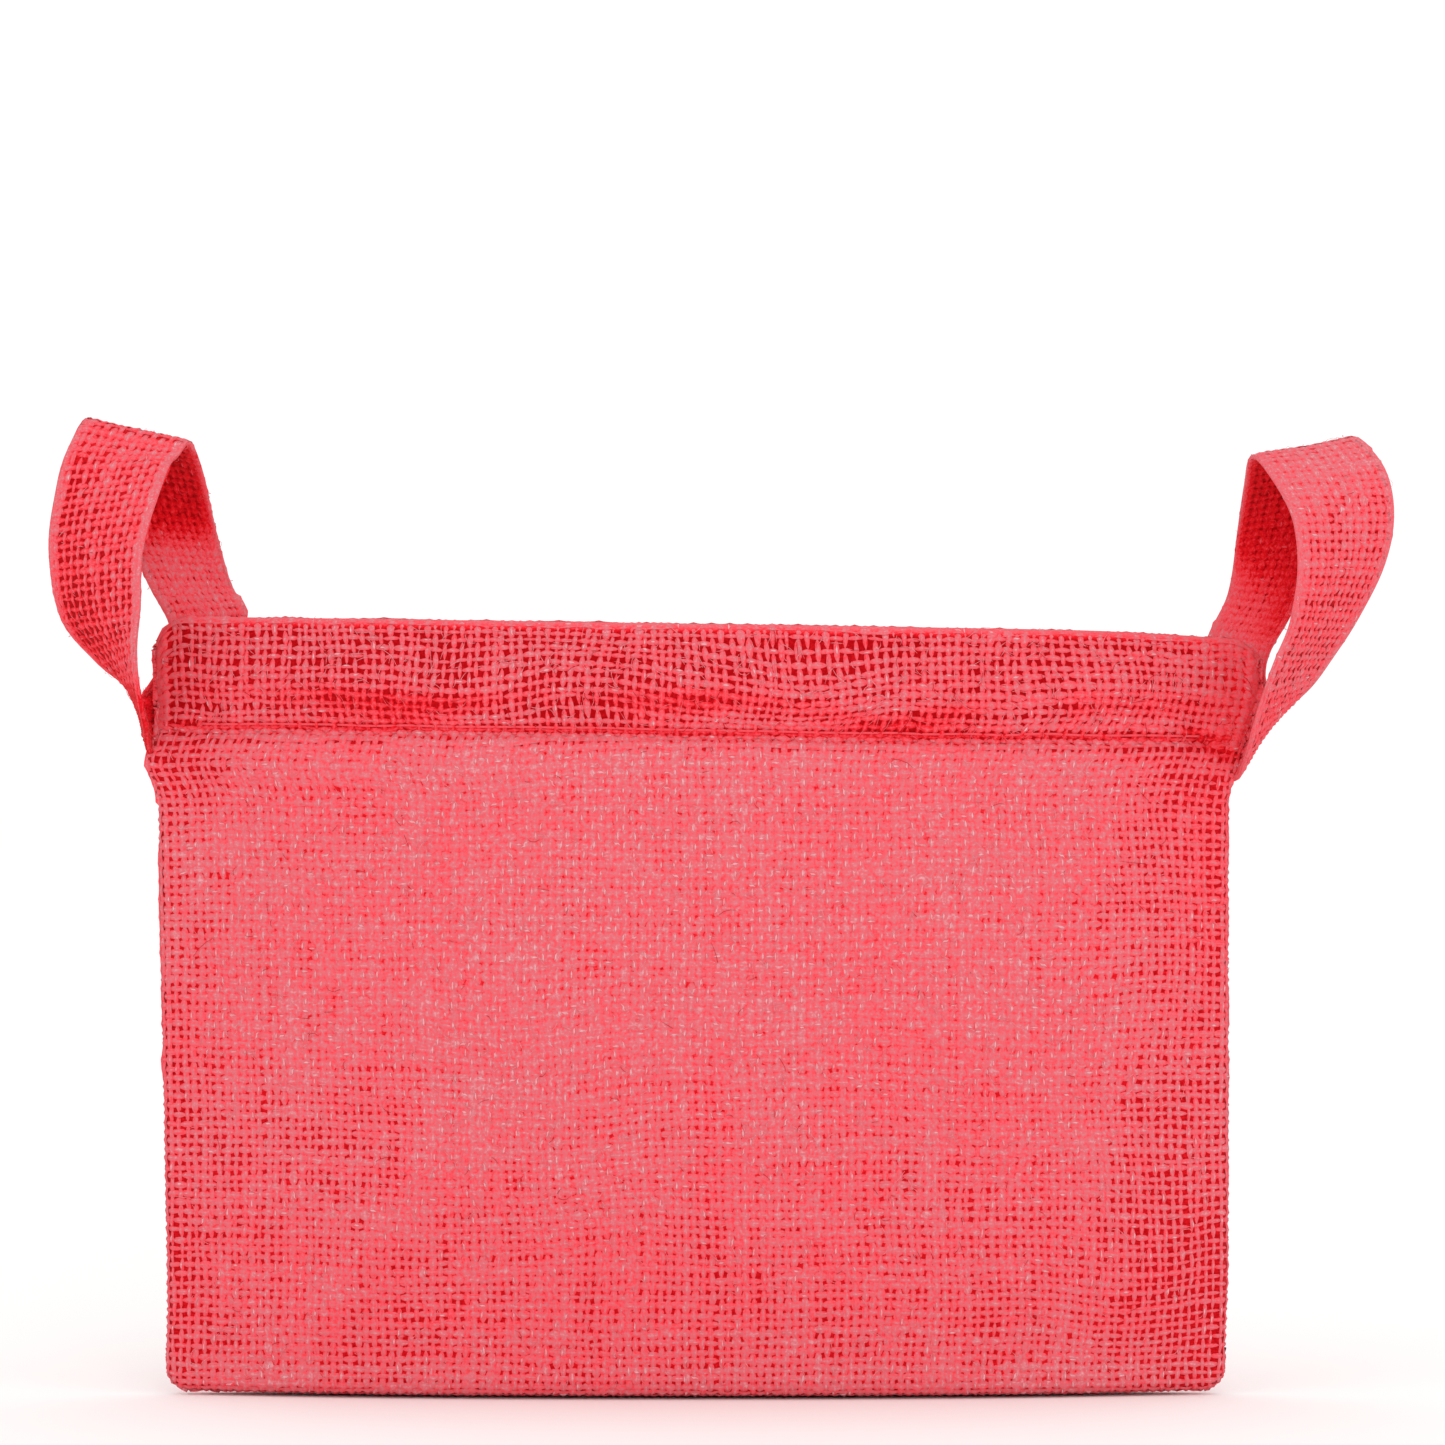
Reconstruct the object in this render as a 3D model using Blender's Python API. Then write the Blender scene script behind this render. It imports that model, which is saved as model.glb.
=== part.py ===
"""Sack race bag: two hessian panels sewn into a sack, a bound mouth, and a strap loop in each side seam.

Metres, +Z up. X runs across the bag, the front faces -Y, and the origin is on the ground under its middle.
"""
import math

import bmesh
import bpy
import numpy as np

# Cloth and sewing thread
CLOTH = 0.0012              # one layer of hessian
GAP = 0.0003                # between layers that lie on each other
SEAM_GAP = 0.0002           # half the gap where the two panels meet edge to edge
THREAD = 0.0005             # radius of the sewing thread
STITCH = 0.012              # one zigzag of a seam

# Bag seen from the front
LEFT_FOOT = -0.2222         # left edge at the ground
LEFT_LEAN = 0.018           # it leans out by this for each metre of height
RIGHT_EDGE = 0.2253         # right edge below the mouth
FLARE_LOW, FLARE_HIGH = 0.252, 0.294
FLARE_SLOPE = 0.31          # the right strap draws the edge out over that height
CORNER = 0.0075             # rounding of the bottom corners
MOUTH_HEIGHT = 0.3252       # at the middle
MOUTH_SLOPE = 0.0155        # the mouth falls to the right by this for each metre
DROOP_START, DROOP = 0.146, 0.38
BAND_LOW = 0.2765           # lower edge of the band round the mouth
PANEL_TOP = 0.310           # the panel's raw edge, inside the band

# Bag seen from the side
SIDE_ROUND = 0.0055         # half the thickness of the side edges
FOOT_HALF, BELLY_HALF, MOUTH_HALF = 0.030, 0.045, 0.036
BELLY_HEIGHT = 0.170
LENS_POWER = 2.6            # how full the bag is in plan, from the edge to the middle
FOOT_ROUND = 0.006          # where the standing cloth turns up from the ground

# Strap loops
STRAP_HALF = 0.001          # half the thickness of the folded strap
STRAP_BEND = 0.0016         # radius of its hairpin round the seam line
STRAP_CLEARANCE = 0.0004    # from the hairpin to the side of the bag
ROOT_LOW, ROOT_HIGH = 0.2525, 0.2915
TAIL_HALF, TAIL_LENGTH = 0.0015, 0.017
SLOT_HALF = 0.0021          # half the opening in the side seam that the strap passes
RUNGS_PER_SPAN = 5
STRAP_SHARES = (0.03, 0.27, 0.5, 0.73, 0.97)

# Columns from a side edge to the middle: over the round edge, then on across the panel
ROUND_STEPS = (0.0, math.radians(42), math.radians(66))
SPREAD_STEPS = (0.0, 0.05, 0.11, 0.20, 0.33, 0.48, 0.65, 0.82)
# Rows: shares of the way from the bottom seam to FREE_TOP, then heights
FREE_TOP = 0.2450
ROW_SHARES = (0, 0.015, 0.035, 0.06, 0.085, 0.11, 0.15, 0.25, 0.37, 0.5, 0.63, 0.76, 0.88)
ROW_HEIGHTS = (FREE_TOP, 0.2515, 0.2605, 0.2745, 0.2925, 0.2985, PANEL_TOP)
SLOT_ROWS = (FREE_TOP, 0.2515, 0.2925, 0.2985)
SLOT_GAPS = (SEAM_GAP, SLOT_HALF, SLOT_HALF, SEAM_GAP)
NECK_ROWS = (0.2605, 0.2745)

DYED_JUTE = "#EE5F68"
DYED_STRAP = "#EA5560"
DYED_THREAD = "#DD4A55"


def linear(hex_colour):
    """An sRGB hex colour as linear red, green, blue and alpha."""
    parts = [int(hex_colour[i:i + 2], 16) / 255 for i in (1, 3, 5)]
    return [c / 12.92 if c <= 0.04045 else ((c + 0.055) / 1.055) ** 2.4 for c in parts] + [1.0]


def cloth_material(name, hex_colour, roughness):
    material = bpy.data.materials.new(name)
    material.use_nodes = True
    shader = material.node_tree.nodes["Principled BSDF"]
    shader.inputs["Base Color"].default_value = linear(hex_colour)
    shader.inputs["Roughness"].default_value = roughness
    shader.inputs["Metallic"].default_value = 0.0
    return material


def add_object(name, data, material, parent):
    """A named piece whose mesh or curve is given in its parent's frame."""
    data.materials.append(material)
    piece = bpy.data.objects.new(name, data)
    bpy.context.scene.collection.objects.link(piece)
    piece.parent = parent
    return piece


def closed_mesh(name, points, faces):
    """A mesh from points and faces, with its faces turned outwards."""
    build = bmesh.new()
    corners = [build.verts.new(p) for p in points]
    for face in faces:
        build.faces.new([corners[i] for i in face])
    bmesh.ops.recalc_face_normals(build, faces=build.faces)
    mesh = bpy.data.meshes.new(name)
    build.to_mesh(mesh)
    build.free()
    return mesh


# The bag's outer skin, which every cloth piece is offset from

def edge(side, z):
    """X of the side edge at a height: side is -1 on the left and 1 on the right."""
    if side < 0:
        return LEFT_FOOT - LEFT_LEAN * z
    return RIGHT_EDGE + FLARE_SLOPE * (np.clip(z, FLARE_LOW, FLARE_HIGH) - FLARE_LOW)


def mouth_height(x):
    return MOUTH_HEIGHT - MOUTH_SLOPE * x - DROOP * max(0.0, x - DROOP_START) ** 2


def half_depth(z):
    """Half the bag's depth at its middle, at a height."""
    if z < BELLY_HEIGHT:
        return BELLY_HALF - (BELLY_HALF - FOOT_HALF) * (1 - z / BELLY_HEIGHT) ** 2
    rise = (z - BELLY_HEIGHT) / (MOUTH_HEIGHT - BELLY_HEIGHT)
    return BELLY_HALF - (BELLY_HALF - MOUTH_HALF) * rise ** 2


def skin(column, z):
    """Outer skin at a column and a height: x, depth from the seam plane, and the outward normal in plan."""
    side, kind, step = column
    if kind == "round":
        turn = max(step, math.asin(np.interp(z, SLOT_ROWS, SLOT_GAPS) / SIDE_ROUND))
        x = edge(side, z) - side * SIDE_ROUND * (1 - math.cos(turn))
        normal = (side, 0.0) if step == 0 else (side * math.cos(turn), math.sin(turn))
        return x, SIDE_ROUND * math.sin(turn), normal
    width = abs(edge(side, z)) - SIDE_ROUND
    x = edge(side, z) - side * (SIDE_ROUND + step * width)
    swell = half_depth(z) - SIDE_ROUND
    slope = swell * LENS_POWER * (1 - step) ** (LENS_POWER - 1) / width
    if step == 0:
        slope /= 2
    length = math.hypot(slope, 1)
    depth = SIDE_ROUND + swell * (1 - (1 - step) ** LENS_POWER)
    return x, depth, (side * slope / length, 1 / length)


def all_columns():
    left = [(-1, "round", s) for s in ROUND_STEPS] + [(-1, "spread", s) for s in SPREAD_STEPS]
    right = [(1, kind, step) for _, kind, step in left]
    return left + [(1, "spread", 1.0)] + right[::-1]


def column_path(column):
    """Points and normals up one column: from the bottom seam, over the ground and up the wall to FREE_TOP."""
    side = column[0]
    x, depth, normal = skin(column, 0.0)
    inset = min(abs(edge(side, 0.0) - x), CORNER)
    tilt = (CORNER - inset) / CORNER
    lift = CORNER * (1 - math.sqrt(1 - tilt * tilt))
    down = np.array([side * tilt, 0.0, -math.sqrt(1 - tilt * tilt)])
    out = np.array([normal[0], normal[1], 0.0])
    turn = min(FOOT_ROUND, depth - SEAM_GAP)
    points = [(x, SEAM_GAP, lift)]
    normals = [down]
    for angle in np.linspace(0, math.pi / 2, 9):
        points.append((x, depth - turn + turn * math.sin(angle), lift + turn * (1 - math.cos(angle))))
        normals.append(down * math.cos(angle) + out * math.sin(angle))
    for z in np.linspace(lift + turn, FREE_TOP, 40)[1:]:
        x, depth, normal = skin(column, z)
        points.append((x, depth, z))
        normals.append((normal[0], normal[1], 0.0))
    return np.array(points), np.array(normals)


def unit(vectors):
    return vectors / np.linalg.norm(vectors, axis=-1, keepdims=True)


def panel_grids():
    """Outer and inner points of a panel, column by column, with depths measured from the seam plane."""
    outer, inner = [], []
    for column in all_columns():
        path, normals = column_path(column)
        run = np.concatenate([[0], np.cumsum(np.linalg.norm(np.diff(path, axis=0), axis=1))])
        at = [share * run[-1] for share in ROW_SHARES]
        points = [[np.interp(a, run, path[:, k]) for k in range(3)] for a in at]
        ways = [[np.interp(a, run, normals[:, k]) for k in range(3)] for a in at]
        for z in ROW_HEIGHTS:
            x, depth, normal = skin(column, z)
            points.append((x, depth, z))
            ways.append((normal[0], normal[1], 0.0))
        points = np.array(points)
        ways = unit(np.array(ways))
        drawn_in = (CLOTH + GAP) * np.interp(points[:, 2], NECK_ROWS, (0, 1))
        face = points - ways * drawn_in[:, None]
        outer.append(face)
        inner.append(face - ways * CLOTH)
    return np.array(outer), np.array(inner)


def panel(name, facing, material, parent):
    """One panel of the sack: facing is -1 for the front and 1 for the back."""
    outer, inner = panel_grids()
    columns, rows = outer.shape[:2]
    points = np.concatenate([outer.reshape(-1, 3), inner.reshape(-1, 3)]) * (1, facing, 1)
    count = columns * rows

    def at(i, j, layer):
        return layer * count + i * rows + j

    faces = []
    for i in range(columns - 1):
        for j in range(rows - 1):
            for layer in (0, 1):
                quad = [at(i, j, layer), at(i + 1, j, layer), at(i + 1, j + 1, layer), at(i, j + 1, layer)]
                if j == 0 and i in (0, columns - 2):
                    quad = quad if i == 0 else quad[1:] + quad[:1]
                    faces += [quad[:3], [quad[0], *quad[2:]]]
                else:
                    faces.append(quad)
        for j in (0, rows - 1):
            faces.append([at(i, j, 0), at(i + 1, j, 0), at(i + 1, j, 1), at(i, j, 1)])
    for j in range(rows - 1):
        for i in (0, columns - 1):
            faces.append([at(i, j, 0), at(i, j + 1, 0), at(i, j + 1, 1), at(i, j, 1)])
    return add_object(name, closed_mesh(name, points, faces), material, parent)


# The band folded over the mouth

BAND_THICK = 3 * CLOTH + 2 * GAP
FOLD = 0.003                # height of the round fold at the top
SHORT_LEAF = 0.010          # the inner leaf stops this far below the mouth beside the strap tails
FULL_LEAF_STEP = 0.11       # column where the inner leaf reaches its full height
LEAF_RISE = 0.004           # the inner leaf ends this far above the outer one
BAND_ROWS = (0.2925, 0.2985, PANEL_TOP)


def band_point(column, z, offset):
    x, depth, normal = skin(column, z)
    return np.array([x + normal[0] * offset, depth + normal[1] * offset, z])


def band_ring(column):
    """Section of the band at a column: up the outer leaf, over the fold, down the inner leaf and back."""
    top = mouth_height(skin(column, PANEL_TOP)[0])
    whole = column[1] == "spread" and column[2] >= FULL_LEAF_STEP
    leaf_low = BAND_LOW + LEAF_RISE if whole else top - SHORT_LEAF
    outer = (BAND_LOW, *BAND_ROWS)
    inner = np.maximum((BAND_LOW + LEAF_RISE, *BAND_ROWS), leaf_low + np.arange(4) * 0.0005)
    inside = top - FOLD - GAP
    ring = [(z, 0.0) for z in (*outer, top - FOLD)]
    ring += [(top - 0.25 * FOLD, -0.15 * BAND_THICK), (top, -0.5 * BAND_THICK)]
    ring += [(top - 0.25 * FOLD, -0.85 * BAND_THICK), (top - FOLD, -BAND_THICK)]
    ring += [(z, -BAND_THICK) for z in inner[::-1]]
    ring += [(z, CLOTH - BAND_THICK) for z in (*inner, inside)]
    ring += [(z, -CLOTH) for z in (inside, *outer[::-1])]
    return [band_point(column, z, offset) for z, offset in ring]


def loft(name, rings, caps=None):
    """A solid through equal rings of points: caps are the faces of an end, and without them it closes on itself."""
    count = len(rings[0])
    points = [p for ring in rings for p in ring]
    faces = []
    for i in range(len(rings) - (1 if caps else 0)):
        for j in range(count):
            here, there = i * count, (i + 1) % len(rings) * count
            nxt = (j + 1) % count
            faces.append([here + j, here + nxt, there + nxt, there + j])
    for first in (0, len(points) - count):
        faces += [[first + j for j in cap] for cap in caps or ()]
    return closed_mesh(name, points, faces)


def mouth_band(name, facing, material, parent):
    rings = [[p * (1, facing, 1) for p in band_ring(column)] for column in all_columns()]
    leaves = [[k, k + 1, 21 - k, 22 - k] for k in range(4)] + [[8 + k, 9 + k, 16 - k, 17 - k] for k in range(4)]
    return add_object(name, loft(name, rings, leaves + [[4, 5, 6, 7, 8, 17, 18]]), material, parent)


# Sewing threads

def thread(name, points, material, parent):
    """A thread laid through points, as a thin tube with closed ends."""
    curve = bpy.data.curves.new(name, "CURVE")
    curve.dimensions = "3D"
    curve.bevel_depth = THREAD
    curve.bevel_resolution = 0
    curve.use_fill_caps = True
    spline = curve.splines.new("POLY")
    spline.points.add(len(points) - 1)
    for spot, place in zip(spline.points, points):
        spot.co = (*place, 1.0)
    return add_object(name, curve, material, parent)


STITCH_STEP = 0.14          # the band's rows of stitches run between the columns at this share of the way in
STITCH_RISE = 0.004         # above the edge of the leaf they hold
STITCH_SWAY = 0.0005


def band_stitches(name, facing, inside, material, parent):
    """A row of stitches along the band: inside puts it on the inner leaf."""
    offset = -(BAND_THICK + GAP + THREAD) if inside else GAP + THREAD
    z = BAND_LOW + STITCH_RISE + (LEAF_RISE if inside else 0)
    columns = [c for c in all_columns() if c[1] == "spread" and c[2] >= STITCH_STEP]
    line = np.array([band_point(column, z, offset) for column in columns])
    run = np.concatenate([[0], np.cumsum(np.linalg.norm(np.diff(line, axis=0), axis=1))])
    points = []
    for k, along in enumerate(np.linspace(0, run[-1], int(run[-1] / STITCH))):
        x, depth, height = (np.interp(along, run, line[:, axis]) for axis in range(3))
        points.append((x, facing * depth, height + STITCH_SWAY * (-1) ** k))
    return thread(name, points, material, parent)


SEAM_START, SEAM_END = 0.016, 0.240
SEAM_INSET, SEAM_SWAY = 0.0026, 0.0021


def side_seam(name, side, material, parent):
    """The lacing inside a side edge, from wall to wall of the two panels."""
    points = []
    for k, z in enumerate(np.arange(SEAM_START, SEAM_END, STITCH / 2)):
        points.append((edge(side, z) - side * SEAM_INSET, SEAM_SWAY * (-1) ** k, z))
    return thread(name, points, material, parent)


BOTTOM_SEAM_END, BOTTOM_SWAY = 0.186, 0.003


def bottom_seam(name, material, parent):
    """The lacing on the inside of the bottom, across the line where the panels meet."""
    points = []
    for k, x in enumerate(np.arange(-BOTTOM_SEAM_END, BOTTOM_SEAM_END, STITCH / 2)):
        points.append((x, BOTTOM_SWAY * (-1) ** k, CLOTH + GAP + THREAD))
    return thread(name, points, material, parent)


# Strap loops. Each rung is the strap's outer edge, then its inner edge, in millimetres from the front
# layer at the seam, up the front limb, over the top and down behind the band to the back layer.

LEFT_RUNGS = (
    ((-234.0, -2.1, 291.6), (-234.2, -7, 253.5)),
    ((-236.5, -3.2, 292.0), (-235.0, -21, 259)),
    ((-238.8, -3.6, 293.6), (-235.2, -33, 270)),
    ((-241.6, -3.0, 296.6), (-235.4, -40, 284)),
    ((-245.8, -1, 301), (-235.8, -43, 300)),
    ((-255.0, 0, 309), (-236.5, -43, 315)),
    ((-268.6, -4, 326), (-235.2, -41, 330)),
    ((-273.6, -11, 356), (-232.6, -38, 358)),
    ((-271.0, -9, 386), (-223.6, -25, 388)),
    ((-256.0, 6, 411), (-212.6, -12, 401)),
    ((-249.0, 21, 397), (-207.2, 10, 389)),
    ((-244.0, 24, 368), (-203.2, 34, 366)),
    ((-233.0, 17, 343), (-197.5, 43, 343)),
    ((-226.0, 12, 325), (-191.5, 44, 328)),
    ((-229.0, 8, 310), (-204.0, 45, 311)),
    ((-235.0, 5.6, 299), (-221.5, 43, 292)),
    ((-238.0, 4.4, 294.8), (-230.5, 34, 272)),
    ((-237.0, 3.2, 292.2), (-233.6, 21, 259.5)),
    ((-234.0, 2.1, 291.6), (-234.2, 7, 253.5)),
)
RIGHT_RUNGS = (
    ((245.0, -2.1, 291.4), (232.8, -7, 254)),
    ((249.5, -2.8, 291.6), (233.2, -20, 261)),
    ((253.5, -2.6, 293), (233.5, -33, 272)),
    ((260.0, -2, 299), (238.5, -41, 291)),
    ((268.2, -2, 309.2), (245.3, -44, 308)),
    ((279.0, -6, 326), (252.8, -45, 326)),
    ((290.0, -12, 348), (255.8, -45, 347)),
    ((294.6, -15, 369), (251.8, -39, 368)),
    ((291.0, -7, 388), (243.2, -25, 386)),
    ((281.0, 8, 403), (235.4, -9, 394)),
    ((274.0, 20, 390), (231.3, 10, 383)),
    ((266.0, 25, 364), (229.2, 33, 361)),
    ((256.0, 18, 333), (226.6, 42, 337)),
    ((245.0, 12, 313), (217.5, 43, 317)),
    ((244.5, 7, 302), (222.0, 45, 300)),
    ((248.5, 4.6, 295.5), (230.0, 38, 279)),
    ((248.3, 3.3, 292.2), (232.6, 21, 262)),
    ((245.0, 2.1, 291.4), (232.8, 7, 254)),
)


def seam_line(side, z):
    """A point on the hinge line of a loop, which runs just outside the side edge."""
    low, high = (edge(side, h) for h in (ROOT_LOW, ROOT_HIGH))
    slant = math.hypot(high - low, ROOT_HIGH - ROOT_LOW) / (ROOT_HIGH - ROOT_LOW)
    reach = (STRAP_CLEARANCE + STRAP_BEND + STRAP_HALF) * slant
    x = np.interp(z, (ROOT_LOW, ROOT_HIGH), (low, high))
    return np.array([x + side * reach, 0.0, z])


def smooth_through(stations, per_span):
    """Points on a smooth open curve through stations, as a Catmull-Rom spline."""
    padded = np.concatenate([[2 * stations[0] - stations[1]], stations, [2 * stations[-1] - stations[-2]]])
    found = []
    for i in range(1, len(padded) - 2):
        p0, p1, p2, p3 = padded[i - 1:i + 3]
        for t in np.arange(per_span) / per_span:
            found.append(0.5 * (2 * p1 + (p2 - p0) * t + (2 * p0 - 5 * p1 + 4 * p2 - p3) * t ** 2
                                + (3 * p1 - p0 - 3 * p2 + p3) * t ** 3))
    return np.array(found + [stations[-1]])


def strap_rungs(side, rungs):
    """All rungs of a loop, as outer and inner edge: the hairpin round the seam line, then the free strap."""
    roots = [seam_line(side, z) for z in (ROOT_HIGH, ROOT_LOW)]
    hairpin = []
    for angle in np.linspace(math.pi / 2, -math.pi / 2, 7):
        shift = STRAP_BEND * np.array([-side * math.cos(angle), math.sin(angle), 0.0])
        hairpin.append([root + shift for root in roots])
    hairpin = np.array(hairpin)
    free = np.concatenate([hairpin[-1:], np.array(rungs) / 1000, hairpin[:1]])
    return np.concatenate([hairpin[:-1], smooth_through(free, RUNGS_PER_SPAN)[:-1]])


def strap_loop(name, side, rungs, material, hinge):
    """The strap's loop, in the frame of its hinge."""
    edges = strap_rungs(side, rungs) - np.array(hinge.location)
    across = unit(edges[:, 1] - edges[:, 0])
    near, far = [], []
    for share in STRAP_SHARES:
        line = edges[:, 0] + (edges[:, 1] - edges[:, 0]) * share
        along = np.roll(line, -1, axis=0) - np.roll(line, 1, axis=0)
        lift = unit(np.cross(along, across)) * STRAP_HALF
        near.append(line + lift)
        far.append(line - lift)
    section = [edges[:, 0]] + near + [edges[:, 1]] + far[::-1]
    return add_object(name, loft(name, np.stack(section, axis=1)), material, hinge)


def strap_tail(name, side, material, parent):
    """The strap's two ends pressed together between the panels, behind the seam line."""
    rings = []
    for z in (ROOT_LOW, ROOT_HIGH):
        outer = edge(side, z) - side * STRAP_CLEARANCE
        inner = outer - side * TAIL_LENGTH
        rings.append([(outer, -TAIL_HALF, z), (inner, -TAIL_HALF, z), (inner, TAIL_HALF, z), (outer, TAIL_HALF, z)])
    return add_object(name, loft(name, rings, [[0, 1, 2, 3]]), material, parent)


def add_empty(name, place, parent=None):
    empty = bpy.data.objects.new(name, None)
    empty.location = place
    empty.parent = parent
    bpy.context.scene.collection.objects.link(empty)
    return empty


def build():
    for thing in list(bpy.data.objects):
        bpy.data.objects.remove(thing)
    bag = add_empty("bag", (0, 0, 0))
    for name, facing in (("front", -1), ("back", 1)):
        panel(f"{name}_panel", facing, cloth_material(f"{name}_panel_hessian", DYED_JUTE, 0.9), bag)
        mouth_band(f"{name}_mouth_band", facing, cloth_material(f"{name}_band_hessian", DYED_JUTE, 0.9), bag)
        sewing = cloth_material(f"{name}_band_thread", DYED_THREAD, 0.7)
        band_stitches(f"{name}_band_needle_thread", facing, False, sewing, bag)
        lower_sewing = cloth_material(f"{name}_band_lower_thread", DYED_THREAD, 0.7)
        band_stitches(f"{name}_band_bobbin_thread", facing, True, lower_sewing, bag)
    for name, side, rungs in (("left", -1, LEFT_RUNGS), ("right", 1, RIGHT_RUNGS)):
        side_seam(f"{name}_seam_thread", side, cloth_material(f"{name}_seam_sewing", DYED_THREAD, 0.7), bag)
        strap_tail(f"{name}_handle_tail", side, cloth_material(f"{name}_tail_hessian", DYED_STRAP, 0.9), bag)
        hinge = add_empty(f"{name}_handle_hinge", seam_line(side, ROOT_LOW), bag)
        strap = cloth_material(f"{name}_strap_hessian", DYED_STRAP, 0.9)
        strap_loop(f"{name}_handle_loop", side, rungs, strap, hinge)
    bottom_seam("bottom_seam_thread", cloth_material("bottom_seam_sewing", DYED_THREAD, 0.7), bag)


build()
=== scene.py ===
import math

import bpy
import numpy as np
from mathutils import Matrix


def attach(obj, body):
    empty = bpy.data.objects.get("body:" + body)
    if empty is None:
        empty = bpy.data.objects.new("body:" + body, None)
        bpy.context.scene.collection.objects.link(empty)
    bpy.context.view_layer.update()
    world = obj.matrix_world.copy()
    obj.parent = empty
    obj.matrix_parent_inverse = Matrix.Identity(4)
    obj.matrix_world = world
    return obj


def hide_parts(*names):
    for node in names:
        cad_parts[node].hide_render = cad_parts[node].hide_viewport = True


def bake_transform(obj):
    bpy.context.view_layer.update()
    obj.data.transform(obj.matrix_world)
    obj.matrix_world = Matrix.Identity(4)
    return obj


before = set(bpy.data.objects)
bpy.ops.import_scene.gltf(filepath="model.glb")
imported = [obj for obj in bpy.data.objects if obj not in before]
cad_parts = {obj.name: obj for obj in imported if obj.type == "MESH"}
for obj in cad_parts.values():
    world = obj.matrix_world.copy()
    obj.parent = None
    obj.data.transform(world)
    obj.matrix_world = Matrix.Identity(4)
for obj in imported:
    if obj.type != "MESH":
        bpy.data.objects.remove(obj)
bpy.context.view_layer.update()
bpy.ops.object.select_all(action="DESELECT")


# The sack's two panels. Each is a sheet of red dyed hessian, a coarse plain weave of slubby jute yarns.
# They are sewn together inside out along the sides and the bottom and then turned, so that the raw
# edges lie inside as narrow allowances, and the top edges go up into the band round the mouth.

WARP_PITCH = 0.0036         # from one upright yarn to the next
WEFT_PITCH = 0.00377        # from one level yarn to the next
YARN_HALF = 0.00058         # half the thickness of a yarn
ALLOWANCE = 0.010           # raw edge left inside the bottom seam
SIDE_ALLOWANCE = 0.0085     # raw edge left inside the side seams
SIDE_ROUND = 0.0055         # half the thickness of the side edges
FOOT_ROUND = 0.006          # turn from the standing cloth to the ground
CORNER = 0.010              # rounding of the bottom corners
CLOTH_REACH = 0.2345        # from the middle of the panel to its side seam, along the cloth
PANEL_DEPTH = -0.0011       # middle of the cloth, from the bag's outer skin
TUCKED_DEPTH = -0.0036      # the same where the panel goes under the band
LOWEST_WEFT, HIGHEST_WEFT = -0.052, 0.292   # from the cloth under the bag to the cloth under the band
DYE_PATCH = 0.05            # size of the patches in which the dye varies
FRONT, BACK = -1, 1


def linear(hex_colour):
    """An sRGB hex colour as linear red, green, blue and alpha."""
    parts = [int(hex_colour[i:i + 2], 16) / 255 for i in (1, 3, 5)]
    return [c / 12.92 if c <= 0.04045 else ((c + 0.055) / 1.055) ** 2.4 for c in parts] + [1.0]


def add_node(tree, kind, links=(), **settings):
    """Adds a node: settings name its own values or its input sockets, and links join sockets to it."""
    node = tree.nodes.new(kind)
    for name, value in settings.items():
        if hasattr(node, name):
            setattr(node, name, value)
        elif name.startswith("input_"):
            node.inputs[int(name[6:])].default_value = value
        else:
            node.inputs[name].default_value = value
    for source, output, target in links:
        tree.links.new(source.outputs[output], node.inputs[target])
    return node


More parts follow.
